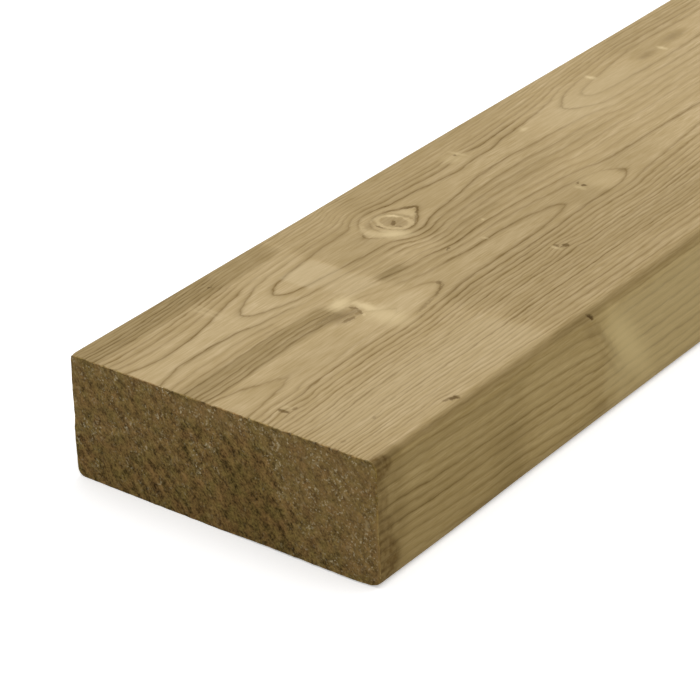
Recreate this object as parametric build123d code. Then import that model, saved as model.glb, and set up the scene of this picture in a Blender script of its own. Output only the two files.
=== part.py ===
"""Timber stud: one planed, pressure-treated softwood stud with eased arrises and square saw-cut ends.

Millimetres, +Z up. The stud lies flat on its wide face. The origin is at the middle of that face,
+X runs along the grain and +Y across the width. Right and left are as seen looking along +X.
"""
import os

from build123d import *

# Driving dimensions of the finished section and its cut length
stud_length = 2400.0
stud_width = 120.0
stud_thickness = 44.0

# The planer eased each arris by its own amount, and left one of them almost sharp
right_bottom_arris_radius = 3.5
right_top_arris_radius = 4.5
left_top_arris_radius = 1.0
left_bottom_arris_radius = 2.5


def planed_section():
    """The section across the grain: a rectangle that stands on its wide side, with four eased arrises."""
    right_side = -stud_width / 2
    left_side = stud_width / 2
    arrises = (
        (right_side, 0, right_bottom_arris_radius),
        (right_side, stud_thickness, right_top_arris_radius),
        (left_side, stud_thickness, left_top_arris_radius),
        (left_side, 0, left_bottom_arris_radius),
    )
    with BuildSketch(Plane.YZ) as section:
        Rectangle(stud_width, stud_thickness, align=(Align.CENTER, Align.MIN))
        for across, height, radius in arrises:
            corner = section.vertices().sort_by_distance((across, height))[0]
            fillet(corner, radius)
    return section.sketch


def timber_stud():
    """The section carried along the grain, half the length each way, with both ends cut off square."""
    return extrude(planed_section(), amount=stud_length / 2, both=True)


os.makedirs("parts", exist_ok=True)
export_step(timber_stud(), "parts/timber_stud.step")
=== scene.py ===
import math

import bpy
import numpy as np
from mathutils import Euler, Matrix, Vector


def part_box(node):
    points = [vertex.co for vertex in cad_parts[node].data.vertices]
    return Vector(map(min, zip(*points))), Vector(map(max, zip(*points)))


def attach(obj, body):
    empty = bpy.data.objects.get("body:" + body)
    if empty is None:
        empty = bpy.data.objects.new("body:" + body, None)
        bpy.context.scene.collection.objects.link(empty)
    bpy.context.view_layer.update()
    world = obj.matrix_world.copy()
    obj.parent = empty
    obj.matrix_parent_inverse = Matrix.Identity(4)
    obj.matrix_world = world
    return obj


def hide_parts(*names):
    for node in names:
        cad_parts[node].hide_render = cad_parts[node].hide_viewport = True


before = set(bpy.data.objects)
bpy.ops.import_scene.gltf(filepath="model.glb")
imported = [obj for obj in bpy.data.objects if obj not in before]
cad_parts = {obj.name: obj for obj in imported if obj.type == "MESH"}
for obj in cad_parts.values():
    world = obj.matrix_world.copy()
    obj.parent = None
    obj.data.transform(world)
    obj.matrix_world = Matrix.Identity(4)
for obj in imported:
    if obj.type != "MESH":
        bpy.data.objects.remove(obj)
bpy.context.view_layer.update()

# The stud, its wood
# One length of softwood, sawn from a log, planed on four sides with its arrises eased, cut off square
# with a circular saw and pressure treated, which leaves it olive. The growth rings are worked out as one
# field through the whole piece, so that each line runs on from the wide face over the arris to the edge.
low_corner, high_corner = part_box("timber_stud")
millimetre = 0.001
stud_length, stud_width, stud_thickness = (np.array(high_corner) - np.array(low_corner)) / millimetre


def to_row(along, across, depth):
    """Row-frame place, in metres, of a point in mm from the near end, the right edge and the top face."""
    x = low_corner[0] + np.asarray(along) * millimetre
    y = low_corner[1] + np.asarray(across) * millimetre
    z = high_corner[2] - np.asarray(depth) * millimetre
    return x, y, z


def smooth_step(t):
    """Rises from 0 to 1 with level ends while t does: three squares of t less two cubes."""
    t = np.clip(t, 0, 1)
    return t * t * (3 - 2 * t)


def smooth_curve(points, at):
    """Cubic pieces through (place, height) points. A point's slope is the harmonic mean of the straight
    slopes beside it, level where they turn, and straight at both ends, so the curve never swings past
    its points."""
    places, heights = np.array(points, float).T
    straight = np.diff(heights) / np.diff(places)
    before, after = straight[:-1], straight[1:]
    same_way = before * after > 0
    slopes = np.append(straight, straight[-1])
    slopes[1:-1] = np.where(same_way, 2 * before * after / np.where(same_way, before + after, 1), 0)
    k = np.clip(np.searchsorted(places, at) - 1, 0, len(places) - 2)
    gap = places[k + 1] - places[k]
    t = np.clip((at - places[k]) / gap, 0, 1)
    start = (1 + 2 * t) * (1 - t) ** 2 * heights[k] + t * (1 - t) ** 2 * gap * slopes[k]
    end = t ** 2 * (3 - 2 * t) * heights[k + 1] + t ** 2 * (t - 1) * gap * slopes[k + 1]
    return start + end


def lattice_noise(points, layers):
    """Sum of layers of noise, each given by its height, its cell size and its seed. A layer has random
    values on a lattice of cells, up to its height either way, mixed smoothly in between."""
    count = 32
    total = np.zeros(points.shape[:-1])
    for height, cell, seed in layers:
        table = np.random.default_rng(seed).uniform(-1, 1, (count, count, count))
        scaled = points / cell
        corner = np.floor(scaled).astype(int)
        t = smooth_step(scaled - corner)
        for step in np.ndindex(2, 2, 2):
            weight = np.prod(np.where(step, t, 1 - t), axis=-1)
            i, j, k = np.moveaxis((corner + step) % count, -1, 0)
            total += height * weight * table[i, j, k]
    return total


def hyperbola_share(t, bend):
    """Share from 0 to 1 that starts level and turns into a straight slope; bend says how slowly it turns."""
    return (np.sqrt(t * t + bend * bend) - bend) / (math.sqrt(1 + bend * bend) - bend)


# Ring number along the crest and the valley that the top face cuts through, and where they lie across it
crest_rings = (
    (0, 0.68), (7, 0.36), (15, 0.2), (28, 0.24), (40, 0.45), (51, 1), (58, 1.32), (65, 1.76), (68.3, 2),
    (75, 2.26), (80, 2.37), (90, 2.56), (100, 2.75), (110, 2.9), (118.5, 3), (121, 3.2), (125, 4.05),
    (130, 4.8), (135, 4.9), (140, 4.5), (144, 4.12), (147.5, 4), (152, 3.9), (160, 3.7), (170, 3.42),
    (180, 3.25), (200, 3.25), (210, 3.42), (222, 3.55), (234, 3.72), (246, 4), (262, 5.1), (285, 5.5),
    (310, 5.8), (350, 5.6), (430, 6.7), (540, 6.3), (650, 7.7), (790, 7.2), (930, 8.9), (1060, 8.4),
    (1200, 9.8), (1360, 9.5), (1520, 11.1), (1700, 10.6), (1900, 12.2), (2100, 11.7), (2400, 13.2),
)
valley_rings = (
    (0, -9), (10, -8.36), (20, -8.1), (28, -8), (34, -7.92), (45, -7.8), (60, -7.55), (75, -7.27),
    (85, -6.88), (95, -6.45), (100, -6.28), (105.5, -6), (112, -5.8), (125, -5.72), (140, -5.65),
    (160, -5.42), (168, -5.22), (177.5, -5), (184, -4.86), (190, -4.8), (200, -4.68), (207, -4.4),
    (213, -4), (222, -3.75), (250, -3.5), (320, -2.9), (430, -2.2), (540, -1.6), (700, -0.6), (900, 0.4),
    (1100, 0.9), (1350, 1.6), (1600, 2.4), (1900, 3.2), (2150, 3.7), (2400, 4.6),
)
crest_places = (
    (0, 90), (15, 90), (28, 90.4), (40, 91), (51, 91), (68, 91.5), (118, 92), (135, 91), (148, 92),
    (185, 93), (246, 95.5), (262, 96), (315, 99), (400, 99), (600, 93), (900, 98), (1200, 90), (1500, 96),
    (1900, 89), (2400, 94),
)
valley_places = (
    (0, 55), (10, 53.3), (20, 53.2), (28, 54.2), (50, 54.4), (78, 52.8), (105.5, 52.3), (177.5, 51),
    (213, 49), (250, 51), (300, 53), (500, 48), (800, 54), (1150, 47), (1600, 54), (2000, 49), (2400, 52),
)
valley_bend = 0.28
crest_bend = 0.55

# Near the end the step from valley to crest is bunched: by how much, and from which share of the step on
bunching = ((0, 0.75), (60, 0.8), (75, 0.6), (95, 0.2), (110, 0), (stud_length, 0))
bunch_starts = ((0, 0.2), (10, 0.255), (20, 0.285), (35, 0.3), (55, 0.36), (stud_length, 0.36))
bunch_turn = 0.04

# The lines by the right edge drift to and fro along it, and most of all beside its top arris
edge_drift = (
    (0, 0), (60, 0.9), (120, 1.75), (150, 1.9), (300, 1.6), (700, -1.5), (1100, 1.5), (1600, -1),
    (2100, 1), (2400, 0),
)
edge_drift_reach = 10.0
arris_drift, arris_across, arris_half_width, arris_depth = 2.5, 6.0, 5.0, 3.0

# Rings from the valley to the right edge and from the crest to the left, how they lean, and how they wander
right_edge_rings = 21.0
left_fall_rings = 55.0
left_reach = 165.0
lean = 0.42
wander_stretch = 6.0
wander_layers = ((0.35, 13.0, 3), (0.15, 4.5, 4))

# Knots that push the rings aside: along, across, depth, half length, half width, half depth, rings added
ring_swells = (
    (70, 63, 0, 9, 5, 12, -0.3), (10, 41.5, 0, 5, 4, 10, 0.6), (150.5, 33.5, 0, 6, 4, 10, 0.8),
    (41, 7, 0, 7, 4, 4, 0.5), (190, 104, 0, 8, 5, 10, 0.5), (316, 99, 0, 18, 5, 14, 0.15),
    (122, 0, 14, 9, 8, 12, -0.5), (470, 74, 0, 13, 9, 14, 3.0), (735, 30, 0, 12, 8, 20, 2.4),
    (905, 96, 0, 14, 11, 16, 2.8), (1180, 58, 0, 13, 10, 16, -2.2), (1460, 88, 0, 15, 12, 18, 2.8),
    (1715, 22, 0, 12, 9, 22, 2.2), (2010, 70, 0, 14, 10, 18, 2.6), (2260, 101, 0, 11, 9, 16, 2.0),
    (560, 40, 44, 14, 10, 14, 2.4), (1010, 84, 44, 15, 11, 16, -2.4), (1390, 30, 44, 13, 9, 14, 2.2),
    (1850, 66, 44, 16, 11, 16, 2.8), (640, 120, 24, 12, 12, 8, 2.0), (1290, 120, 18, 13, 14, 8, 2.4),
    (1960, 0, 26, 12, 10, 7, 2.0), (980, 0, 20, 12, 10, 7, 1.8),
)


def growth_rings(along, across, depth):
    """Ring number at a place in the wood. Across the board it falls and rises as an S: a straight slope down
    from the right edge to a valley, a step up to a crest, steepest at its start near the end, and a slope
    down to the left. Below the top face the same S lies further left, because the rings lean. Noise wanders
    each place by part of a millimetre, and knots add smooth swells."""
    from_arris = ((across - arris_across) / arris_half_width) ** 2 + np.clip(depth, 0, None) / arris_depth
    drift = smooth_curve(edge_drift, along) * np.exp(-np.clip(across, 0, None) / edge_drift_reach)
    reach = across - depth * lean + drift * (1 + arris_drift * np.exp(-from_arris))
    reach = reach + lattice_noise(np.stack([along / wander_stretch, across, depth], axis=-1), wander_layers)
    crest, valley = smooth_curve(crest_rings, along), smooth_curve(valley_rings, along)
    crest_at, valley_at = smooth_curve(crest_places, along), smooth_curve(valley_places, along)
    down = hyperbola_share(np.clip((valley_at - reach) / valley_at, 0, None), valley_bend)
    right_part = valley + (right_edge_rings - valley) * down
    t = (reach - valley_at) / (crest_at - valley_at)
    bunch_start = smooth_curve(bunch_starts, along)
    risen = (t - bunch_start + np.hypot(t - bunch_start, bunch_turn)) / 2 / (1 - bunch_start)
    bunched = 1 - (1 - np.minimum(risen, 1)) ** 2 - smooth_step(t)
    middle_part = valley + (crest - valley) * (smooth_step(t) + smooth_curve(bunching, along) * bunched)
    fall = hyperbola_share(np.clip((reach - crest_at) / (left_reach - crest_at), 0, None), crest_bend)
    left_part = crest - left_fall_rings * fall
    rings = np.where(reach < valley_at, right_part, np.where(reach < crest_at, middle_part, left_part))
    for at, over, below, half_length, half_width, half_depth, added in ring_swells:
        far = ((along - at) / half_length) ** 2 + ((across - over) / half_width) ** 2
        rings = rings + added * np.exp(-far - ((depth - below) / half_depth) ** 2)
    return rings


# How dark the late wood is in each year, from the oldest ring in view to the youngest, then over again:
# left of the valley, and right of it, where the tree grew more evenly
oldest_ring = -12
left_bands = np.array((
    0.5, 0.4, 0.6, 0.5, 0.8, 0.95, 0.6, 0.9, 0.6, 1.0, 0.65, 0.65, 0.9, 0.85, 0.95, 1.0, 0.9, 0.85,
    0.6, 0.5, 0.8, 0.6, 0.5, 0.7, 0.45, 0.6, 0.75, 0.5, 0.65, 0.4, 0.7, 0.5, 0.6, 0.8, 0.5, 0.65,
))
right_bands = np.array((
    0.5, 0.4, 0.6, 0.5, 0.8, 0.6, 0.9, 0.85, 0.95, 0.7, 0.85, 0.6, 0.75, 0.55, 0.7, 0.9, 0.55, 0.65,
    0.5, 0.7, 0.6, 1.0, 0.6, 0.7, 0.5, 0.75, 0.6, 0.7, 0.9, 0.55, 0.75, 0.6, 0.85, 0.55, 0.7, 0.5,
    0.75, 0.6, 1.0, 0.7, 0.95, 0.6, 0.8, 0.55, 0.7, 0.6, 0.75, 0.6,
))

# Where the top face's lines are faint: first and last mm along and across, softness in mm, share that is
# left. On the narrow edges and the right top arris all lines lose a share of their strength.
faint_patches = (
    (52, 114, 72, 81, 2, 0.3), (64, 133, 101, 122, 4, 0.5), (58, 84, 46, 61, 4, 0.45),
    (76, 96, 60, 72, 3, 0.4), (118, 131, 82.5, 100.5, 2.5, 0.5), (112, 130, 68, 76, 3, 0.6),
    (28, 60, 47, 62, 4, 0.55), (198, 400, 61, 88, 6, 0.5), (84, 118, 58, 67, 3, 0.4),
    (18, 32, 50, 60, 3, 0.55), (140, 200, 66, 82, 5, 0.6), (61, 76, 58, 66, 2, 0.25),
    (183, 194, 100, 110, 2, 0.3), (196, 209, 46, 58, 3, 0.4), (140, 230, 107, 122, 4, 0.45),
    (0, 45, 75, 80, 2, 0.75), (130, 152, 104, 122, 3, 0.6), (225, 400, 103, 122, 5, 0.6),
    (-5, 400, -2, 5.5, 3, 0.55), (160, 2420, -20, 140, 25, 0.85),
)
edge_line_loss = 0.22
arris_line_loss = 0.55

# Paler and darker patches, the top face's paler ones partly a painted sheen of cross grain: first and last mm
# along and across the top face, along and down the right edge, or across and down an end, then softness in mm
# and lightening
top_patches_and_sheen = (
    (78, 95, 84, 97.5, 1.2, 0.68), (81, 95, 68, 84, 2.5, 0.4), (66, 95, 98, 121, 4, 0.25),
    (92, 131, 104, 121, 5, 0.3), (43.5, 48.5, 95, 109, 1.5, 0.25), (0, 70, 80, 97, 5, 0.3),
    (82, 104, 47, 58, 3, 0.25), (112, 130, 66, 80, 4, 0.35), (225, 262, 84, 103, 8, 0.4),
    (262, 290, 91, 101, 5, 0.3), (197, 212, 44, 58, 4, 0.3), (205, 225, 60, 80, 6, 0.25),
    (5, 100, 4, 32, 9, 0.34), (-5, 70, 64, 74.5, 1.5, -0.8), (95, 108, 67.5, 71.5, 1.2, -0.6),
    (-5, 95, 108.5, 121, 2, -0.88), (119, 148, 82, 100, 4, 0.3), (28, 62, 47, 62, 4, -0.2),
    (142, 166, 69, 72, 2, -0.4), (300, 336, 95, 103, 4, -0.4), (300, 400, 104, 121, 8, -0.3),
    (96, 235, -8, 220, (3, 30), -0.38), (180, 194, 44, 52, 3, -0.3), (1.5, 13, -2, 3.5, 2, -0.6),
    (5, 28, 1.8, 3, 0.6, -0.5),
)
side_patches = (
    (-5, 14, 3, 44, 4, -0.3), (-5, 78, 4, 46, 6, -0.35), (62, 79, 20, 46, 5, -0.3),
    (128, 190, 4, 46, 6, 0.72), (84, 110, 30, 42, 5, 0.1), (-5, 125, -2, 9, 3, -0.35),
    (-5, 125, 30, 46, 5, -0.2),
)
end_patches = (
    (50, 76, 2, 8, 3, 0.5), (-2, 12, 3, 42, 4, 0.6), (116.5, 122, -2, 24, 1.5, 0.5),
    (10, 40, 3, 24, 6, 0.5), (38, 58, 14, 40, 6, -0.4), (30, 110, 30, 46, 6, -0.2),
    (80, 122, 8, 28, 8, 0.2), (-2, 122, -1, 6, 4, 0.4), (10, 32, 22, 40, 5, 0.3),
    (-2, 1.2, 18, 40, 0.8, 1.2),
)

# Slow lightening along the grain, and how ragged the right edge's patches are along it and down it
tone_stretch = 9.0
tone_layers = ((0.2, 11.0, 8),)
ragged_along_layers = ((2.5, 6.0, 15), (1.2, 2.2, 16))
ragged_depth_layers = ((1.5, 5.0, 17),)
top_skin = (-5, 3, 1.5)
side_skin = (-5, 2, 1.5)


def soft_box(value, first, last, softness):
    """1 well between first and last and 0 well outside: at each of the two a smooth step, which reaches as
    far as the softness either way. A pair gives each its own softness."""
    first_softness, last_softness = np.broadcast_to(softness, 2)
    return smooth_step(np.minimum((value - first) / first_softness, (last - value) / last_softness) / 2 + 0.5)


def patches_on(patches, along, across):
    """Each patch's last value, with how far a place lies in it, from 0 to 1: a soft box along it times one
    across it."""
    for first_u, last_u, first_v, last_v, softness, amount in patches:
        yield amount, soft_box(along, first_u, last_u, softness) * soft_box(across, first_v, last_v, softness)


def line_share(along, across):
    """Strength that the top face's lines keep: the product of the faint patches' shares where they lie."""
    kept = np.ones_like(along)
    for share, inside in patches_on(faint_patches, along, across):
        kept = kept * (1 - (1 - share) * inside)
    return kept


def planed_tone(along, across, depth):
    """Sum of the patches of the top face and, with ragged outlines, of the right edge, plus slow random
    lightening along the grain over the whole length."""
    tone = lattice_noise(np.stack([along / tone_stretch, across, depth], axis=-1), tone_layers)
    for lightening, inside in patches_on(top_patches_and_sheen, along, across):
        tone = tone + lightening * inside * soft_box(depth, *top_skin)
    places = np.stack([along, across, depth], axis=-1)
    ragged_along = along + lattice_noise(places, ragged_along_layers)
    ragged_depth = depth + lattice_noise(places, ragged_depth_layers)
    for lightening, inside in patches_on(side_patches, ragged_along, ragged_depth):
        tone = tone + lightening * inside * soft_box(across, *side_skin)
    return tone


def sawn_tone(across, depth):
    """Sum of the ends' patches."""
    return sum(lightening * inside for lightening, inside in patches_on(end_patches, across, depth))


# The stud, its shape
# Rows of points run round the section, one row for each station along the length, closer together at the
# ends and over the near part. Both ends are grids that share the first or the last row as their rim. Marks
# are pairs of a station's number and its place in mm, and the right top arris is sharper at the near end.
across_count = 131
up_count = 45
end_stretch = 5.0
station_marks = (
    (0, 0), (6, end_stretch), (116, 245), (148, 395), (229, stud_length - end_stretch), (235, stud_length),
)
row_count = station_marks[-1][0] + 1
row_stations = np.interp(np.arange(row_count), *np.transpose(station_marks))
right_top_stations = (
    (0, 2.6), (24, 2.8), (31, 4.5), (50, 4.6), (400, 4.3), (1200, 4.6), (1800, 4.2), (stud_length, 4.5),
)
right_top_radius = smooth_curve(right_top_stations, row_stations)[:, None]
arris_radii = {(-1, -1): 3.5, (-1, 1): right_top_radius, (1, 1): 1.0, (1, -1): 2.5}


def rounded(across, up, radii):
    """Squares round each corner of the section become circles round it, which gives the arrises their radii.
    Returns the moved places and the outward direction there, as the circles have it."""
    new_across, new_up = across + 0 * radii[-1, 1], up + 0 * radii[-1, 1]
    out_across, out_up = 0 * new_across, 0 * new_up
    for (side, level), radius in radii.items():
        centre_across = stud_width / 2 + side * (stud_width / 2 - radius)
        centre_up = stud_thickness / 2 + level * (stud_thickness / 2 - radius)
        d_across, d_up = across - centre_across, up - centre_up
        inside = (side * d_across > 0) & (level * d_up > 0)
        length = np.maximum(np.hypot(d_across, d_up), 1e-9)
        ratio = np.maximum(np.abs(d_across), np.abs(d_up)) / length
        new_across = np.where(inside, centre_across + d_across * ratio, new_across)
        new_up = np.where(inside, centre_up + d_up * ratio, new_up)
        out_across = np.where(inside, d_across / length, out_across)
        out_up = np.where(inside, d_up / length, out_up)
    return new_across, new_up, out_across, out_up


# Places round the section: bottom from right to left, left side up, top back to the right, right side down
across_line = np.linspace(0, stud_width, across_count)
up_line = np.linspace(0, stud_thickness, up_count)
left_side, right_side = np.full(up_count - 1, stud_width), np.zeros(up_count - 1)
bottom, top = np.zeros(across_count - 1), np.full(across_count - 1, stud_thickness)
round_across = np.concatenate([across_line[:-1], left_side, across_line[:0:-1], right_side])
round_up = np.concatenate([bottom, up_line[:-1], top, up_line[:0:-1]])
round_count = len(round_across)
body_across, body_up, out_across, out_up = rounded(round_across[None, :], round_up[None, :], arris_radii)
body_along = np.repeat(row_stations[:, None], round_count, axis=1)
flat = out_across ** 2 + out_up ** 2 < 0.5
flat_side = np.where(body_across <= 0, -1, np.where(body_across >= stud_width, 1, 0))
out_across = np.where(flat, flat_side, out_across)
out_up = np.where(flat & (out_across == 0), np.where(body_up <= 0, -1, 1), out_up)

# Handling has worn the rims of both ends, in mm: unevenly on the top and the right, along the lower edge,
# most of all on its right, and in two dents up the left side. The arrises waver a little along their length.
rim_wear_reach = 1.4
rim_wear = 0.15
rim_wear_layers = ((0.15, 2.2, 11),)
lower_wear, lower_rub, lower_rub_span = 0.1, 0.4, (-1, 55, 9)
left_dents = ((0.7, (37, 47, 3)), (0.5, (20, 37, 3)))
arris_waver = 0.12
waver_stretch = np.array((8.0, 1.0, 1.0))
waver_layers = ((0.12, 5.0, 13),)
faces_left, faces_down = out_across > 0.5, out_up < -0.5
body_points = np.stack([body_along, body_across, body_up], axis=-1)
wear = (rim_wear + lattice_noise(body_points, rim_wear_layers)) * (out_across < 0.5) * (out_up > -0.5)
wear = wear + (lower_wear + lower_rub * soft_box(body_across, *lower_rub_span)) * faces_down
wear = wear + sum(dent * soft_box(body_up, *span) for dent, span in left_dents) * faces_left
from_end = np.minimum(body_along, stud_length - body_along)
wear = wear * np.exp(-(from_end / rim_wear_reach) ** 2)
waver = np.where(flat, 0, arris_waver + lattice_noise(body_points / waver_stretch, waver_layers))
body_across = body_across - out_across * (wear + waver)
body_up = body_up - out_up * (wear + waver)

# What the saw tore out of the ends, in mm: shares of the roughness, each with its cell size, and the rubbed
# lower right corner. The rims are cut less deep, and rows of points keep a gap from them.
saw_slant = math.radians(38)
saw_roughness = 0.6
mean_tear_share = 0.5
tear_stretch = 1.6
tear_grains = ((0.3, 1.2), (0.22, 2.8), (0.25, 9.0))
corner_rub, corner_rub_across, corner_rub_up = 1.5, 6.0, 20.0
rim_cut_share = 0.7
least_gap = 0.3
near_seed, far_seed = 21, 31


def saw_cut(across, up, seed):
    """Depth in mm that the saw tore out of an end: noise of three sizes, drawn out along the saw's slant up
    to the right and cut off at zero, and the lower right corner rubbed off as a bell across times a ramp
    up."""
    stroke = -across * math.cos(saw_slant) + up * math.sin(saw_slant)
    over = across * math.sin(saw_slant) + up * math.cos(saw_slant)
    torn = np.stack([stroke / tear_stretch, over, np.full_like(over, seed)], axis=-1)
    layers = [(height, cell, seed + number) for number, (height, cell) in enumerate(tear_grains)]
    depth = saw_roughness * (mean_tear_share + lattice_noise(torn, layers)).clip(0, None)
    rubbed = np.exp(-(across / corner_rub_across) ** 2) * np.clip(1 - up / corner_rub_up, 0, 1)
    return depth + corner_rub * rubbed


body_along[0] = rim_cut_share * saw_cut(body_across[0], body_up[0], near_seed)
body_along[-1] = stud_length - rim_cut_share * saw_cut(body_across[-1], body_up[-1], far_seed)
for inner in (1, 2):
    body_along[inner] = np.maximum(body_along[inner], body_along[inner - 1] + least_gap)
    body_along[-1 - inner] = np.minimum(body_along[-1 - inner], body_along[-inner] - least_gap)

# Inside of the end grids: all but their rims, which are rows of the body
inner_across, inner_up = (grid.T for grid in np.meshgrid(across_line[1:-1], up_line[1:-1]))
end_points = []
for row, start, inward, seed in ((0, 0.0, 1, near_seed), (-1, stud_length, -1, far_seed)):
    radii = {corner: np.atleast_2d(radius)[row, 0] for corner, radius in arris_radii.items()}
    place_across, place_up = rounded(inner_across, inner_up, radii)[:2]
    place_along = start + inward * saw_cut(place_across, place_up, seed)
    end_points.append(np.stack([place_along, place_across, place_up], axis=-1).reshape(-1, 3))

points = np.concatenate([np.stack([body_along, body_across, body_up], axis=-1).reshape(-1, 3), *end_points])
outward = np.stack([0 * out_across, out_across, out_up], axis=-1).reshape(-1, 3)
end_count = len(end_points[0])
end_outward = [np.tile((way, 0.0, 0.0), (end_count, 1)) for way in (-1.0, 1.0)]
outward = np.concatenate([outward, *end_outward])

# Faces: quads of the body, then the two ends, each corner by its point's number
row, column = np.indices((row_count - 1, round_count)).reshape(2, -1)
beside = (column + 1) % round_count
body_faces = np.stack([row * round_count + column, (row + 1) * round_count + column,
                       (row + 1) * round_count + beside, row * round_count + beside], axis=-1)


def end_faces(first_rim, first_inner, turned):
    """Quads of one end: a grid of point numbers, with the body's row as its border and its own inside."""
    number = np.empty((across_count, up_count), int)
    number[1:-1, 1:-1] = first_inner + np.arange(end_count).reshape(across_count - 2, up_count - 2)
    rim = first_rim + np.arange(round_count)
    sides = np.split(rim, np.cumsum((across_count - 1, up_count - 1, across_count - 1)))
    number[:-1, 0], number[-1, :-1] = sides[0], sides[1]
    number[:0:-1, -1], number[0, :0:-1] = sides[2], sides[3]
    corners = [number[:-1, :-1], number[:-1, 1:], number[1:, 1:], number[1:, :-1]]
    quads = np.stack([corner.ravel() for corner in corners], axis=-1)
    return quads[:, ::-1] if turned else quads


body_count = row_count * round_count
near_faces = end_faces(0, body_count, True)
far_faces = end_faces(body_count - round_count, body_count + end_count, False)
faces = np.concatenate([body_faces, near_faces, far_faces])

stud_mesh = bpy.data.meshes.new("timber_stud_wood")
along, across, up = points.T
depth = stud_thickness - up
row_points = np.stack(to_row(along, across, depth), axis=-1)
stud_mesh.from_pydata(row_points.tolist(), [], faces.tolist())
stud_mesh.polygons.foreach_set("use_smooth", np.ones(len(faces), bool))
edge_points = np.empty(len(stud_mesh.edges) * 2, int)
stud_mesh.edges.foreach_get("vertices", edge_points)
edge_rows = edge_points.reshape(-1, 2) // round_count
on_end_row = (edge_rows[:, 0] == 0) | (edge_rows[:, 0] == row_count - 1)
rim_edge = (edge_rows[:, 0] == edge_rows[:, 1]) & on_end_row
stud_mesh.attributes.new("sharp_edge", "BOOLEAN", "EDGE").data.foreach_set("value", rim_edge)

# What the wood's material reads at each point. The rate is how many rings are passed in a mm on the surface,
# and the right top arris counts as 1 half way round it.
probe = 0.25
least_rate = 0.02
rim_fray_reach = 0.7
ring = growth_rings(along, across, depth)
slope = np.stack([
    growth_rings(along + probe, across, depth) - growth_rings(along - probe, across, depth),
    growth_rings(along, across + probe, depth) - growth_rings(along, across - probe, depth),
    growth_rings(along, across, depth - probe) - growth_rings(along, across, depth + probe),
], axis=-1) / (2 * probe)
slope = slope - outward * np.sum(slope * outward, axis=-1, keepdims=True)
ring_rate = np.linalg.norm(slope, axis=-1) + least_rate
sawn = np.concatenate([np.zeros(body_count), np.ones(2 * end_count)])
sawn[:round_count] = 1
sawn[body_count - round_count:body_count] = 1
tone = np.where(sawn > 0, sawn_tone(across, depth), planed_tone(along, across, depth))
rim = (1 - sawn) * np.exp(-np.minimum(along, stud_length - along) / rim_fray_reach) + sawn
narrow_edge = np.abs(outward[:, 1])
right_arris = 4 * (np.clip(-outward[:, 1], 0, 1) * np.clip(outward[:, 2], 0, 1)) ** 2
year = np.floor(ring + 0.5).astype(int) - oldest_ring
right_of_valley = across - lean * depth < smooth_curve(valley_places, along)
band = np.where(right_of_valley, right_bands[year % len(right_bands)], left_bands[year % len(left_bands)])
on_top = (depth < 1) & (across > 1)
band = band * np.where(on_top, line_share(along, across), 1 - edge_line_loss * narrow_edge)
band = band * (1 - arris_line_loss * right_arris)
wood_values = {
    "ring": ring, "ring_rate": ring_rate, "band": band, "sawn": sawn, "tone": tone, "rim": rim,
    "narrow_edge": narrow_edge, "right_arris": right_arris,
}
for name, value in wood_values.items():
    stud_mesh.attributes.new(name, "FLOAT", "POINT").data.foreach_set("value", value.astype(np.float32))

# A map for baking: the length runs across it, the way round the section up it, and the ends lie above
near_length, near_map_share = 400.0, 0.4
round_map_share = 0.8
end_map_starts = (0.01, 0.51)
end_map_width, end_map_height, end_map_low = 0.48, 0.17, 0.82
length_share = np.interp(row_stations, (0, near_length, stud_length), (0, near_map_share, 1))
round_steps = np.hypot(np.diff(np.append(round_across, 0)), np.diff(np.append(round_up, 0)))
around_share = round_map_share * np.append(0, np.cumsum(round_steps)) / round_steps.sum()
body_map = np.stack([length_share[np.stack([row, row + 1, row + 1, row], axis=-1)],
                     around_share[np.stack([column, column, column + 1, column + 1], axis=-1)]], axis=-1)
end_maps = []
for end, start in zip((near_faces, far_faces), end_map_starts):
    map_across = start + end_map_width * across[end] / stud_width
    map_up = end_map_low + end_map_height * up[end] / stud_thickness
    end_maps.append(np.stack([map_across, map_up], axis=-1).reshape(-1, 2))
bake_map = np.concatenate([body_map.reshape(-1, 2), *end_maps])
stud_mesh.uv_layers.new(name="OFBake").data.foreach_set("uv", bake_map.ravel())

stud = bpy.data.objects.new("timber_stud_planed", stud_mesh)
bpy.context.scene.collection.objects.link(stud)
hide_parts("timber_stud")
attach(stud, "root")


# The stud, its finish
# Planed pine, pressure treated: matt, with pale early wood and thin dark bands of late wood that show as
# lines, fine fibres along the grain, small dark knots with pale cross grain round them, partly a painted
# sheen, and rough, dark ends.
def linear(code):
    """Linear colour, with alpha, of an sRGB hex value."""
    channels = [int(code[i:i + 2], 16) / 255 for i in (0, 2, 4)]
    return [c / 12.92 if c <= 0.04045 else ((c + 0.055) / 1.055) ** 2.4 for c in channels] + [1.0]


def add(tree, kind, inputs=None, **settings):
    """Adds a node with its settings; an input is a value, a socket, or a node whose first output is taken."""
    made = tree.nodes.new("ShaderNode" + kind)
    for name, value in settings.items():
        setattr(made, name, value)
    for socket, value in (inputs or {}).items():
        if isinstance(value, bpy.types.Node):
            value = value.outputs[0]
        if isinstance(value, bpy.types.NodeSocket):
            tree.links.new(value, made.inputs[socket])
        else:
            made.inputs[socket].default_value = value
    return made


pine = bpy.data.materials.new("treated_pine_planed")
pine.use_nodes = True
tree = pine.node_tree
tree.nodes.clear()
object_place = add(tree, "TexCoord").outputs["Object"]
in_mm = add(tree, "VectorMath", {0: object_place, "Scale": 1 / millimetre}, operation="SCALE")
read = {name: add(tree, "Attribute", attribute_name=name).outputs["Fac"] for name in wood_values}

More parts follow.
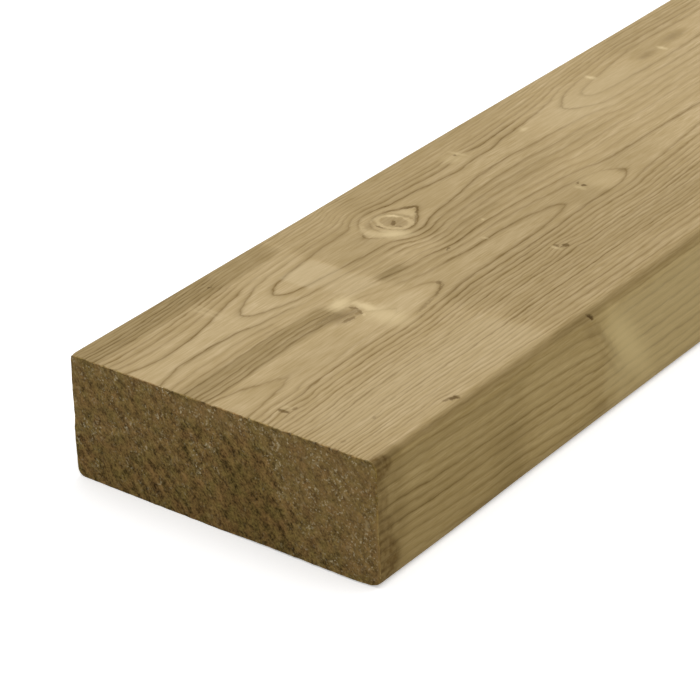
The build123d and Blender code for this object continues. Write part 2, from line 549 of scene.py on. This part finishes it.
# Lines of late wood, darker towards the year's end and then pale at once. Each side of a line fades over a
# width in mm where the rings are far apart, and over a share of the year where they are close.
fray_cell = np.array((7.0, 1.3, 1.3))
fray_reach = 0.4
before_width, before_most_share = 0.65, 0.26
after_width, after_most_share = 0.45, 0.14
fray_mm = add(tree, "VectorMath", {0: in_mm, 1: 1 / fray_cell}, operation="MULTIPLY")
fray = add(tree, "TexNoise", {"Vector": fray_mm, "Scale": 1.0, "Detail": 2.0}, normalize=False)
fray_size = add(tree, "Math", {0: read["ring_rate"], 1: fray_reach}, operation="MULTIPLY")
frayed_ring = add(tree, "Math", {0: fray, 1: fray_size, 2: read["ring"]}, operation="MULTIPLY_ADD")
year_share = add(tree, "Math", {0: frayed_ring}, operation="FRACT")
year_left = add(tree, "Math", {0: 1.0, 1: year_share}, operation="SUBTRACT")
line_sides = []
line_fades = (
    (year_left, before_width, before_most_share), (year_share, after_width, after_most_share),
)
for away, width, most_share in line_fades:
    side_width = add(tree, "Math", {0: read["ring_rate"], 1: width}, operation="MULTIPLY")
    side_share = add(tree, "Math", {0: side_width, 1: most_share}, operation="MINIMUM")
    side_fall = add(tree, "Math", {0: away, 1: side_share}, operation="DIVIDE")
    line_sides.append(add(tree, "Math", {0: 1 / math.e, 1: side_fall}, operation="POWER"))
line = add(tree, "Math", {0: line_sides[0], 1: line_sides[1]}, operation="MAXIMUM")

# Fibres follow the rings: noise drawn out along the grain, and across it as close as the rings are. They are
# palest as the year starts. Lines fade in and out along the grain, and fine threads lie over all of it.
fibre_length, fibres_per_ring, fibre_lift = 80.0, 0.8, 0.15
fade_length, fade_level = 60.0, 5.0
thread_cell = np.array((8.0, 0.6, 0.6))
x_mm = add(tree, "SeparateXYZ", {0: in_mm}).outputs["X"]
fibre_along = add(tree, "Math", {0: x_mm, 1: 1 / fibre_length}, operation="MULTIPLY")
fibre_over = add(tree, "Math", {0: read["ring"], 1: fibres_per_ring}, operation="MULTIPLY")
fibre_place = add(tree, "CombineXYZ", {0: fibre_along, 1: fibre_over, 2: 0.0})
fibre = add(tree, "TexNoise", {"Vector": fibre_place, "Scale": 1.0, "Detail": 5.0, "Roughness": 0.7})
fibre_range = {"From Min": 0.3, "From Max": 0.7, "To Min": 0.25, "To Max": 0.75}
fibre_part = add(tree, "MapRange", {"Value": fibre, **fibre_range})
fibre_share = add(tree, "Math", {0: year_left, 1: fibre_lift, 2: fibre_part}, operation="MULTIPLY_ADD")
fade_along = add(tree, "Math", {0: x_mm, 1: 1 / fade_length}, operation="MULTIPLY")
fade_place = add(tree, "CombineXYZ", {0: fade_along, 1: read["ring"], 2: fade_level})
fade = add(tree, "TexNoise", {"Vector": fade_place, "Scale": 1.0, "Detail": 1.0})
fade_range = {"From Min": 0.25, "From Max": 0.7, "To Min": 0.4, "To Max": 1.1}
fade_share = add(tree, "MapRange", {"Value": fade, **fade_range})
band_here = add(tree, "Math", {0: read["band"], 1: fade_share}, operation="MULTIPLY")
line_here = add(tree, "Math", {0: line, 1: band_here}, operation="MULTIPLY", use_clamp=True)
thread_mm = add(tree, "VectorMath", {0: in_mm, 1: 1 / thread_cell}, operation="MULTIPLY")
thread = add(tree, "TexNoise", {"Vector": thread_mm, "Scale": 1.0, "Detail": 2.0})
thread_share = add(tree, "MapRange", {"Value": thread, "From Min": 0.3, "From Max": 0.7})

# Planed colours, from pale early wood to dark late wood
fibre_dark, fibre_pale = linear("A99061"), linear("D6BF96")
thread_dark, late_wood = linear("B49C6E"), linear("684D0E")
early = add(tree, "Mix", {0: fibre_share, 6: fibre_dark, 7: fibre_pale}, data_type="RGBA").outputs[2]
threaded = add(tree, "Mix", {0: thread_share, 6: thread_dark, 7: early}, data_type="RGBA").outputs[2]
planed = add(tree, "Mix", {0: line_here, 6: threaded, 7: late_wood}, data_type="RGBA").outputs[2]

# Dark knots, brown smears, pale flecks of cross grain, partly a painted sheen, and, at the right edge's near
# end,
# stains: along, across and depth in mm, half sizes in mm, turn in degrees about each axis, strength
knots = (
    (132.9, 91, 0, 2.0, 0.8, 3, (0, 0, 35), 0.75), (9.7, 41.8, 0, 0.8, 1.9, 2, (0, 0, 0), 0.75),
    (12.8, 40, 0, 1.1, 0.7, 2, (0, 0, 0), 0.5), (151, 33, 0, 1.3, 1.2, 2, (0, 0, 0), 0.75),
    (149.3, 35.4, 0, 0.7, 1.5, 2, (0, 0, -15), 0.5), (194, 53.4, 0, 0.9, 1.0, 2, (0, 0, 0), 0.75),
    (194.4, 56.4, 0, 1.3, 0.5, 2, (0, 0, 10), 0.55), (45.4, 4.1, 0, 1.9, 0.9, 3, (0, 0, -22), 1.0),
    (43, 5.2, 0, 1.7, 0.6, 3, (0, 0, -15), 0.6), (116, 0.6, 2.2, 1.9, 1.2, 0.8, (0, 40, 0), 0.9),
    (127, 64, 0, 1.5, 0.5, 2, (0, 0, 25), 0.55), (60.5, 112.4, 0, 0.6, 0.5, 2, (0, 0, 0), 0.7),
    (22, 16.7, 0, 0.8, 0.5, 2, (0, 0, 0), 0.35), (5.5, 16, 0, 1.0, 0.7, 2, (0, 0, 0), 0.3),
    (105.3, 52.3, 0, 1.1, 1.0, 3, (0, 0, 0), 0.4), (90, 46.4, 0, 7, 0.55, 2, (0, 0, 9), 0.3),
    (100.5, 48.9, 0, 5, 0.55, 2, (0, 0, 19), 0.32), (189.6, 105.4, 0, 0.8, 0.6, 2, (0, 0, 0), 0.5),
    (145.6, 94, 0, 3.2, 0.9, 3, (0, 0, -36), 0.6), (145.6, 90.2, 0, 3.0, 0.6, 3, (0, 0, 34), 0.55),
    (131.6, 88, 0, 0.6, 1.3, 3, (0, 0, 10), 0.45), (127.6, 92.9, 0, 0.6, 1.4, 3, (0, 0, -10), 0.6),
    (119, 93, 0, 1.0, 0.6, 3, (0, 0, 40), 0.35), (140.5, 97.2, 0, 3.0, 0.5, 3, (0, 0, -30), 0.35),
    (140.5, 86.8, 0, 4.5, 0.5, 3, (0, 0, 30), 0.4), (132.7, 90.8, 0, 1.6, 1.8, 3, (0, 0, 20), 0.3),
    (75.2, 64.6, 0, 0.7, 1.9, 3, (0, 0, 14), 0.6), (74.2, 61.4, 0, 0.7, 1.9, 3, (0, 0, -38), 0.6),
    (67.8, 61, 0, 3.2, 0.9, 3, (0, 0, -5), 0.6), (73.6, 62.6, 0, 1.4, 3.0, 3, (0, 0, -25), 0.42),
    (69, 64.6, 0, 5, 1.3, 3, (0, 0, -2), 0.3), (64, 67.3, 0, 6, 0.45, 3, (0, 0, 3), 0.35),
    (470, 74, 0, 6, 5, 9, (0, 0, 10), 0.85), (735, 30, 0, 5, 4, 9, (0, 0, -8), 0.85),
    (905, 96, 0, 7, 6, 9, (0, 0, 6), 0.85), (1180, 58, 0, 5.5, 5, 9, (0, 0, 0), 0.85),
    (1460, 88, 0, 7, 5.5, 9, (0, 0, -6), 0.85), (1715, 22, 0, 5, 4.5, 9, (0, 0, 0), 0.85),
    (2010, 70, 0, 7, 5, 9, (0, 0, 12), 0.85), (2260, 101, 0, 4.5, 4, 9, (0, 0, 0), 0.85),
    (560, 40, 44, 7, 5, 9, (0, 0, 0), 0.85), (1010, 84, 44, 6, 5, 9, (0, 0, 10), 0.85),
    (1390, 30, 44, 5.5, 4.5, 9, (0, 0, 0), 0.85), (1850, 66, 44, 7, 6, 9, (0, 0, -10), 0.85),
    (640, 120, 24, 5, 6, 5, (0, 0, 0), 0.85), (1290, 120, 18, 6, 6, 5, (0, 0, 0), 0.85),
    (1960, 0, 26, 5, 6, 4, (0, 0, 0), 0.85), (980, 0, 20, 5, 6, 4.5, (0, 0, 0), 0.85),
)
smears = (
    (69, 64, 0, 6.0, 3.4, 4, (0, 0, -4), 0.62), (72.5, 63.6, 0, 2.8, 2.6, 4, (0, 0, 0), 0.5),
    (125.6, 96, 0, 2.6, 1.6, 4, (0, 0, 30), 0.3), (139.4, 91, 0, 0.9, 3.2, 4, (0, 0, 12), 0.45),
    (212.5, 49, 0, 2.2, 1.4, 4, (0, 0, 0), 0.4), (306, 97, 0, 5, 1.8, 4, (0, 0, 0), 0.4),
    (328, 98.6, 0, 7, 2.2, 4, (0, 0, 0), 0.4), (125, 0, 15, 13, 5, 1.5, (0, 52, 0), 0.28),
    (127, 0, 23, 11, 5, 1.2, (0, 50, 0), 0.2), (123, 0, 38, 6, 4, 2.5, (0, 10, 0), 0.3),
    (116, 0, 8, 6, 5, 2, (0, 56, 0), 0.2),
)
# Pale flecks: paler cross grain round knots, partly a painted sheen where the tilted fibres catch the light
flecks_and_sheen = (
    (137.2, 94.2, 0, 0.9, 3.0, 3, (0, 0, 33), 0.95), (126, 85.8, 0, 3, 6, 4, (0, 0, 40), 0.85),
    (122.2, 92, 0, 2.2, 3.6, 4, (0, 0, 0), 0.4), (142, 91.5, 0, 2.6, 3.5, 4, (0, 0, 0), 0.4),
    (132.5, 98.4, 0, 3.2, 0.6, 4, (0, 0, 5), 0.5), (122.8, 97, 0, 3.6, 0.7, 4, (0, 0, 40), 0.35),
    (74.8, 69.8, 0, 5.4, 3.0, 4, (0, 0, 10), 0.85), (78.3, 62, 0, 2.2, 6, 4, (0, 0, 0), 0.9),
    (77, 52.5, 0, 5, 8.5, 4, (0, 0, 0), 0.6), (73.6, 59.2, 0, 1.4, 0.6, 4, (0, 0, 35), 0.6),
    (67.5, 62.3, 0, 2.6, 0.5, 4, (0, 0, 0), 0.35), (200, 52.5, 0, 8, 7, 4, (0, 0, 0), 0.2),
    (315, 96, 0, 1.3, 2.0, 4, (0, 0, 0), 0.85), (275.5, 103.4, 0, 1.3, 2.1, 4, (0, 0, 0), 0.85),
    (222, 97.5, 0, 2.2, 1.3, 4, (0, 0, 0), 0.6), (191.3, 105, 0, 0.9, 3.8, 4, (0, 0, 6), 0.5),
    (187, 104, 0, 4.5, 3.4, 4, (0, 0, -20), 0.3), (152, 67.3, 0, 1.0, 0.7, 3, (0, 0, 20), 0.6),
    (140.6, 58.5, 0, 0.8, 0.9, 3, (0, 0, 0), 0.6), (191.6, 53.5, 0, 1.1, 2.4, 4, (0, 0, 0), 0.6),
    (147.8, 34.8, 0, 1.0, 2.0, 4, (0, 0, 0), 0.6), (137, 0, 20, 21, 8, 5.6, (0, 50, 0), 0.72),
    (45.5, 102, 0, 0.7, 6, 4, (0, 0, 0), 0.2), (48, 101, 0, 0.6, 7, 4, (0, 0, 0), 0.18),
    (12.2, 42.4, 0, 1.2, 1.4, 3, (0, 0, 0), 0.3),
)
stains = (
    (2, 0, 35, 9, 5, 9, (0, 0, 0), 0.9), (2, 0, 24, 6.5, 5, 5, (0, 0, 0), 0.65),
    (1, 0, 14, 5, 5, 8, (0, 0, 0), 0.6), (1, 0, 2.5, 7, 4, 4.5, (0, 0, 0), 0.85),
    (0, 0, 22, 15, 5, 26, (0, 0, 0), 0.2),
)

# Each kind of mark with the radius, in half sizes, where it starts and the one where it is full
mark_kinds = ((knots, 1.4, 0.6), (smears, 1.7, 0.1), (flecks_and_sheen, 1.7, 0.1), (stains, 1.25, 0.75))
ragged_cell, ragged_reach = 1.6, 2.2
ragged = add(tree, "TexNoise", {"Vector": in_mm, "Scale": 1 / ragged_cell, "Detail": 2.0})
middle_noise, ragged_sizes = [0.5] * 3, [ragged_reach * millimetre] * 3
ragged_step = add(tree, "VectorMath", {0: ragged.outputs["Color"], 1: middle_noise}, operation="SUBTRACT")
ragged_place = add(tree, "VectorMath", {0: ragged_step, 1: ragged_sizes, 2: object_place},
                   operation="MULTIPLY_ADD")
ragged_parts = add(tree, "SeparateXYZ", {0: ragged_place}).outputs
slant_places = [add(tree, "CombineXYZ", {0: ragged_parts[axis]}) for axis in range(3)]
shares = []
for marks, edge, heart in mark_kinds:
    share = 0.0
    for at, over, below, half_length, half_width, half_depth, turn, strength in marks:
        # An ellipsoid turned about one axis: three scales and one slant take it to a ball of radius 1
        half_sizes = np.array((half_length, half_width, half_depth)) * millimetre
        turned = np.array(Euler(np.radians(turn)).to_matrix()) / half_sizes
        form = np.linalg.cholesky(turned @ turned.T).T
        slant_axis = 2 if turn[1] else 1
        slant, shift = (form[0, slant_axis], 0, 0), -form @ to_row(at, over, below)
        slanted = add(tree, "VectorMath", {0: slant_places[slant_axis], 1: slant, 2: shift},
                      operation="MULTIPLY_ADD")
        scales = np.diag(form)
        near = add(tree, "VectorMath", {0: ragged_place, 1: scales, 2: slanted}, operation="MULTIPLY_ADD")
        radius = add(tree, "VectorMath", {0: near}, operation="LENGTH").outputs["Value"]
        mark_range = {"From Min": edge, "From Max": heart, "To Min": 0.0, "To Max": strength}
        mark = add(tree, "MapRange", {"Value": radius, **mark_range}, interpolation_type="SMOOTHSTEP",
                   clamp=False)
        share = add(tree, "Math", {0: mark, 1: share}, operation="MAXIMUM")
    shares.append(share)
knot_share, smear_share, fleck_and_sheen_share, stain_share = shares
stain_range = {"From Min": 0.35, "From Max": 0.65, "To Min": 0.6, "To Max": 1.15}
stain_grain = add(tree, "MapRange", {"Value": ragged, **stain_range})
stain_share = add(tree, "Math", {0: stain_share, 1: stain_grain}, operation="MULTIPLY", use_clamp=True)
smear_range = {"From Min": 0.35, "From Max": 0.65, "To Min": 0.5, "To Max": 1.0}
smear_thread = add(tree, "MapRange", {"Value": thread, **smear_range})
streaked_smear = add(tree, "Math", {0: smear_share, 1: smear_thread}, operation="MULTIPLY")
knot_share = add(tree, "Math", {0: knot_share, 1: streaked_smear}, operation="MAXIMUM")

# The largest knot shows its own rings round a dark heart, and a pale ring between them: radius, as a share
# of its half sizes, and strength there
eye_at = to_row(133.6, 91.2, 0)
eye_turn = (0, 0, math.radians(8))
eye_half_sizes = np.array((6.6, 8.6, 10.0)) * millimetre
eye_dark = (
    (0.0, 0.24), (0.25, 0.26), (0.42, 0.2), (0.55, 0.16), (0.63, 0.0), (0.8, 0.0), (0.9, 0.24), (1.0, 0.0),
)
eye_pale = ((0.0, 0.0), (0.56, 0.0), (0.66, 0.32), (0.78, 0.32), (0.86, 0.0))
eye_frame = {"Location": eye_at, "Rotation": eye_turn, "Scale": eye_half_sizes}
eye_place = add(tree, "Mapping", {"Vector": ragged_place, **eye_frame}, vector_type="TEXTURE")
eye_radius = add(tree, "VectorMath", {0: eye_place}, operation="LENGTH").outputs["Value"]
eye_ramps = []
for eye_rings in (eye_dark, eye_pale):
    eye_ramp = add(tree, "ValToRGB", {0: eye_radius})
    for place, amount in eye_rings[1:-1]:
        eye_ramp.color_ramp.elements.new(place)
    for element, (place, amount) in zip(eye_ramp.color_ramp.elements, eye_rings):
        element.position = place
        element.color = (amount, amount, amount, 1)
    eye_ramps.append(eye_ramp)
all_knots = add(tree, "Math", {0: eye_ramps[0], 1: knot_share}, operation="MAXIMUM")
all_flecks_and_sheen = add(tree, "Math", {0: eye_ramps[1], 1: fleck_and_sheen_share}, operation="MAXIMUM")
# The flecks' pale colour is partly a painted sheen
fleck_and_sheen_pale, knot_brown, stain_grey = linear("DEC89A"), linear("5E4518"), linear("AD9F7C")
flecked_and_sheened = add(tree, "Mix", {0: all_flecks_and_sheen, 6: planed, 7: fleck_and_sheen_pale}, data_type="RGBA").outputs[2]
knotted = add(tree, "Mix", {0: all_knots, 6: flecked_and_sheened, 7: knot_brown}, data_type="RGBA").outputs[2]
stained = add(tree, "Mix", {0: stain_share, 6: knotted, 7: stain_grey}, data_type="RGBA",
              blend_type="MULTIPLY").outputs[2]

# Saw-cut ends: cut fibres stand up as pale specks among dark, soaked pores. The torn grain and the faint
# ridges lie down to the right, across the coarser tears of the mesh. Sizes are in mm.
saw_turn = (math.radians(-40), 0, 0)
streak_size = (1, 0.7, 1.3)
streak_weight, torn_size = 0.7, 0.9
ridge_spacing, ridge_bend, bend_size = 4.4, 1.6, 9.0
mottle_size, mottle_weight = 3.2, 0.16
hue_size = 4.5
streak_frame = {"Rotation": saw_turn, "Scale": streak_size}
stroke = add(tree, "Mapping", {"Vector": in_mm, **streak_frame}, vector_type="TEXTURE")
streak = add(tree, "TexNoise", {"Vector": stroke, "Scale": 1.0, "Detail": 3.0, "Roughness": 0.6})
torn = add(tree, "TexNoise", {"Vector": in_mm, "Scale": 1 / torn_size, "Detail": 4.0, "Roughness": 0.75})
rough_grain = add(tree, "Math", {0: streak, 1: streak_weight, 2: torn}, operation="MULTIPLY_ADD")
ridge_frame = {"Rotation": saw_turn, "Scale": (1, ridge_spacing, ridge_spacing)}
ridge_place = add(tree, "Mapping", {"Vector": in_mm, **ridge_frame}, vector_type="TEXTURE")
ridge_over = add(tree, "SeparateXYZ", {0: ridge_place}).outputs["Y"]
bend = add(tree, "TexNoise", {"Vector": in_mm, "Scale": 1 / bend_size, "Detail": 2.0})
bent = add(tree, "Math", {0: bend, 1: ridge_bend, 2: ridge_over}, operation="MULTIPLY_ADD")
ridge_angle = add(tree, "Math", {0: bent, 1: math.tau}, operation="MULTIPLY")
ridge = add(tree, "Math", {0: ridge_angle}, operation="SINE")
ridge_range = {"From Min": 0.3, "From Max": 0.7, "To Min": 0.0, "To Max": 0.09}
ridge_size = add(tree, "MapRange", {"Value": bend, **ridge_range})
ridged = add(tree, "Math", {0: ridge, 1: ridge_size, 2: rough_grain}, operation="MULTIPLY_ADD")
mottle = add(tree, "TexNoise", {"Vector": in_mm, "Scale": 1 / mottle_size, "Detail": 1.0}, normalize=False)
mottled = add(tree, "Math", {0: mottle, 1: mottle_weight, 2: ridged}, operation="MULTIPLY_ADD")
torn_share = add(tree, "MapRange", {"Value": mottled, "From Min": 0.6, "From Max": 1.06})
hue = add(tree, "TexNoise", {"Vector": in_mm, "Scale": 1 / hue_size, "Detail": 3.0})
hue_share = add(tree, "MapRange", {"Value": hue, "From Min": 0.35, "From Max": 0.65})
pore_olive, pore_brown = linear("3B2F10"), linear("3F2D12")
wall_olive, wall_brown = linear("AD9354"), linear("B48E56")
pores = add(tree, "Mix", {0: hue_share, 6: pore_olive, 7: pore_brown}, data_type="RGBA").outputs[2]
walls = add(tree, "Mix", {0: hue_share, 6: wall_olive, 7: wall_brown}, data_type="RGBA").outputs[2]
grain = add(tree, "Mix", {0: torn_share, 6: pores, 7: walls}, data_type="RGBA").outputs[2]

# Pale and dark specks lie in groups, mostly where a patch is pale: size in mm, how high the noise has to be
# for one to show, strength, colour
specks = ((0.85, 0.585, 0.95, "EADBB2"), (1.9, 0.6, 0.5, "D2BE90"), (1.3, 0.6, 0.7, "281F0C"))
speck_edge = 0.14
cluster_size, cluster_tone = 6.0, 0.3
cluster = add(tree, "TexNoise", {"Vector": in_mm, "Scale": 1 / cluster_size, "Detail": 1.0})
toned_cluster = add(tree, "Math", {0: read["tone"], 1: cluster_tone, 2: cluster}, operation="MULTIPLY_ADD")
cluster_share = add(tree, "MapRange", {"Value": toned_cluster, "From Min": 0.44, "From Max": 0.78})
for size, least, strength, code in specks:
    speck = add(tree, "TexNoise", {"Vector": in_mm, "Scale": 1 / size, "Detail": 1.0})
    speck_range = {"From Min": least, "From Max": least + speck_edge, "To Max": strength}
    chosen = add(tree, "MapRange", {"Value": speck, **speck_range})
    speck_share = add(tree, "Math", {0: chosen, 1: cluster_share}, operation="MULTIPLY")
    grain = add(tree, "Mix", {0: speck_share, 6: grain, 7: linear(code)}, data_type="RGBA").outputs[2]

# The planed faces fray where they meet an end, so dark end grain shows in notches along the rim
notch_size = 1.3
notch = add(tree, "TexNoise", {"Vector": in_mm, "Scale": 1 / notch_size, "Detail": 3.0})
notched = add(tree, "Math", {0: notch, 1: read["rim"]}, operation="ADD")
rim_share = add(tree, "MapRange", {"Value": notched, "From Min": 0.85, "From Max": 1.15})
colour = add(tree, "Mix", {0: rim_share, 6: stained, 7: grain}, data_type="RGBA").outputs[2]

# Patches, the narrow edges' deeper tint and the darker arris lie over all of it
patch_strength = 0.5
planed_pale, sawn_pale = linear("DAC69E"), linear("AE8E5A")
# Pale patches lighten towards pale wood; on the top face this is partly a painted sheen
lighter = add(tree, "Math", {0: read["tone"], 1: patch_strength}, operation="MULTIPLY", use_clamp=True)
pale_wood = add(tree, "Mix", {0: read["sawn"], 6: planed_pale, 7: sawn_pale}, data_type="RGBA").outputs[2]
colour = add(tree, "Mix", {0: lighter, 6: colour, 7: pale_wood}, data_type="RGBA").outputs[2]
darker = add(tree, "Math", {0: read["tone"], 1: -1.0}, operation="MULTIPLY", use_clamp=True)
for amount, tint in ((darker, "D9D6CA"), (read["narrow_edge"], "FFFCE5"), (read["right_arris"], "CECBC4")):
    colour = add(tree, "Mix", {0: amount, 6: colour, 7: linear(tint)}, data_type="RGBA",
                 blend_type="MULTIPLY").outputs[2]

# Relief too fine for the mesh: late wood stands proud of the planed face, and the ends are torn
line_height = 0.5
planed_relief, sawn_relief = 0.06 * millimetre, 0.6 * millimetre
planed_sheen, sawn_sheen = 0.15, 0.05
roughness = 0.75
planed_height = add(tree, "Math", {0: line_here, 1: line_height, 2: thread}, operation="MULTIPLY_ADD")
height = add(tree, "Mix", {0: read["sawn"], 2: planed_height, 3: ridged}, data_type="FLOAT")
relief = add(tree, "MapRange", {"Value": read["sawn"], "To Min": planed_relief, "To Max": sawn_relief})
bump = add(tree, "Bump", {"Strength": 1.0, "Distance": relief, "Height": height})
sheen = add(tree, "MapRange", {"Value": read["sawn"], "To Min": planed_sheen, "To Max": sawn_sheen})
finish = {"Base Color": colour, "Roughness": roughness, "Specular IOR Level": sheen, "Normal": bump}
surface = add(tree, "BsdfPrincipled", finish)
add(tree, "OutputMaterial", {"Surface": surface})
stud_mesh.materials.append(pine)

# Floor
# A plain white studio table with a matt top. It keeps the soft shadow that the stud casts close to its lower
# edges. In sight it is brighter than in the light that it throws back, so that it stays white all round.
floor_half = 12.0
table_glow = 0.4
floor_mesh = bpy.data.meshes.new("studio_floor")
floor_sides = ((-1, -1), (1, -1), (1, 1), (-1, 1))
floor_mesh.from_pydata([(x * floor_half, y * floor_half, 0) for x, y in floor_sides], [], [(0, 1, 2, 3)])
floor = bpy.data.objects.new("studio_floor", floor_mesh)
bpy.context.scene.collection.objects.link(floor)


def in_sight(tree):
    """1 for rays from the camera, straight, mirrored or through glass, and 0 for rays that light other
    things: the largest of the three."""
    ray = add(tree, "LightPath").outputs
    largest = add(tree, "Math", {0: ray["Is Camera Ray"], 1: ray["Is Glossy Ray"]}, operation="MAXIMUM")
    return add(tree, "Math", {0: largest, 1: ray["Is Transmission Ray"]}, operation="MAXIMUM")


white_table = bpy.data.materials.new("white_studio_table_matt")
white_table.use_nodes = True
tree = white_table.node_tree
tree.nodes.clear()
matt = add(tree, "BsdfDiffuse", {"Color": linear("BCBCBC")})
seen_matt = add(tree, "BsdfDiffuse", {"Color": linear("FFFFFF")})
glow = add(tree, "Emission", {"Color": linear("FFFFFF"), "Strength": table_glow})
seen = add(tree, "AddShader", {0: seen_matt, 1: glow})
white_floor = add(tree, "MixShader", {0: in_sight(tree), 1: matt, 2: seen})
add(tree, "OutputMaterial", {"Surface": white_floor})
floor_mesh.materials.append(white_table)

# Light
# A white studio: even light from all round, and one large soft box overhead that lights the top face most.
# In sight the room is plain white, brighter than the light that it gives.
room_strength = 0.5
backdrop_strength = 1.0
soft_box_size = 4.0
soft_box_watts = 72
world = bpy.data.worlds.new("white_studio")
bpy.context.scene.world = world
world.use_nodes = True
tree = world.node_tree
tree.nodes.clear()
room = add(tree, "Background", {"Color": linear("FFFFFF"), "Strength": room_strength})
backdrop = add(tree, "Background", {"Color": linear("FFFFFF"), "Strength": backdrop_strength})
shown = add(tree, "MixShader", {0: in_sight(tree), 1: room, 2: backdrop})
add(tree, "OutputWorld", {"Surface": shown})
soft_box_light = bpy.data.lights.new("overhead_soft_box", "AREA")
soft_box_light.shape = "SQUARE"
soft_box_light.size = soft_box_size
soft_box_light.energy = soft_box_watts
soft_box_lamp = bpy.data.objects.new("overhead_soft_box", soft_box_light)
soft_box_lamp.location = (-0.1, -0.5, 3.0)
bpy.context.scene.collection.objects.link(soft_box_lamp)

# Camera
# A long lens, above the right of the near end, turned a little about its own axis. Its place is in mm along,
# across and above the stud's lower face, and its focal length is in widths of the sensor.
camera_along, camera_across, camera_height = -571.69, -435.50, 470.12
camera_azimuth, camera_elevation, camera_roll = np.radians((-52.186, 28.361, -1.790))
sensor_width = 36.0
focal_share = 4.1
far_limit = 100.0
camera_place = to_row(camera_along, camera_across, stud_thickness - camera_height)
back = np.array((math.sin(camera_azimuth) * math.cos(camera_elevation),
                 -math.cos(camera_azimuth) * math.cos(camera_elevation), math.sin(camera_elevation)))
level_right = np.cross((0, 0, 1), back)
level_right /= np.linalg.norm(level_right)
level_up = np.cross(back, level_right)
right_axis = level_right * math.cos(camera_roll) + level_up * math.sin(camera_roll)
up_axis = np.cross(back, right_axis)
camera_data = bpy.data.cameras.new("photo_camera")
camera_data.sensor_width = sensor_width
camera_data.lens = focal_share * sensor_width
camera_data.clip_end = far_limit
camera = bpy.data.objects.new("photo_camera", camera_data)
camera_rows = np.stack([right_axis, up_axis, back, camera_place], axis=-1).tolist()
camera.matrix_world = Matrix([*camera_rows, (0, 0, 0, 1)])
bpy.context.scene.collection.objects.link(camera)
bpy.context.scene.camera = camera
bpy.context.scene.view_settings.view_transform = "Standard"
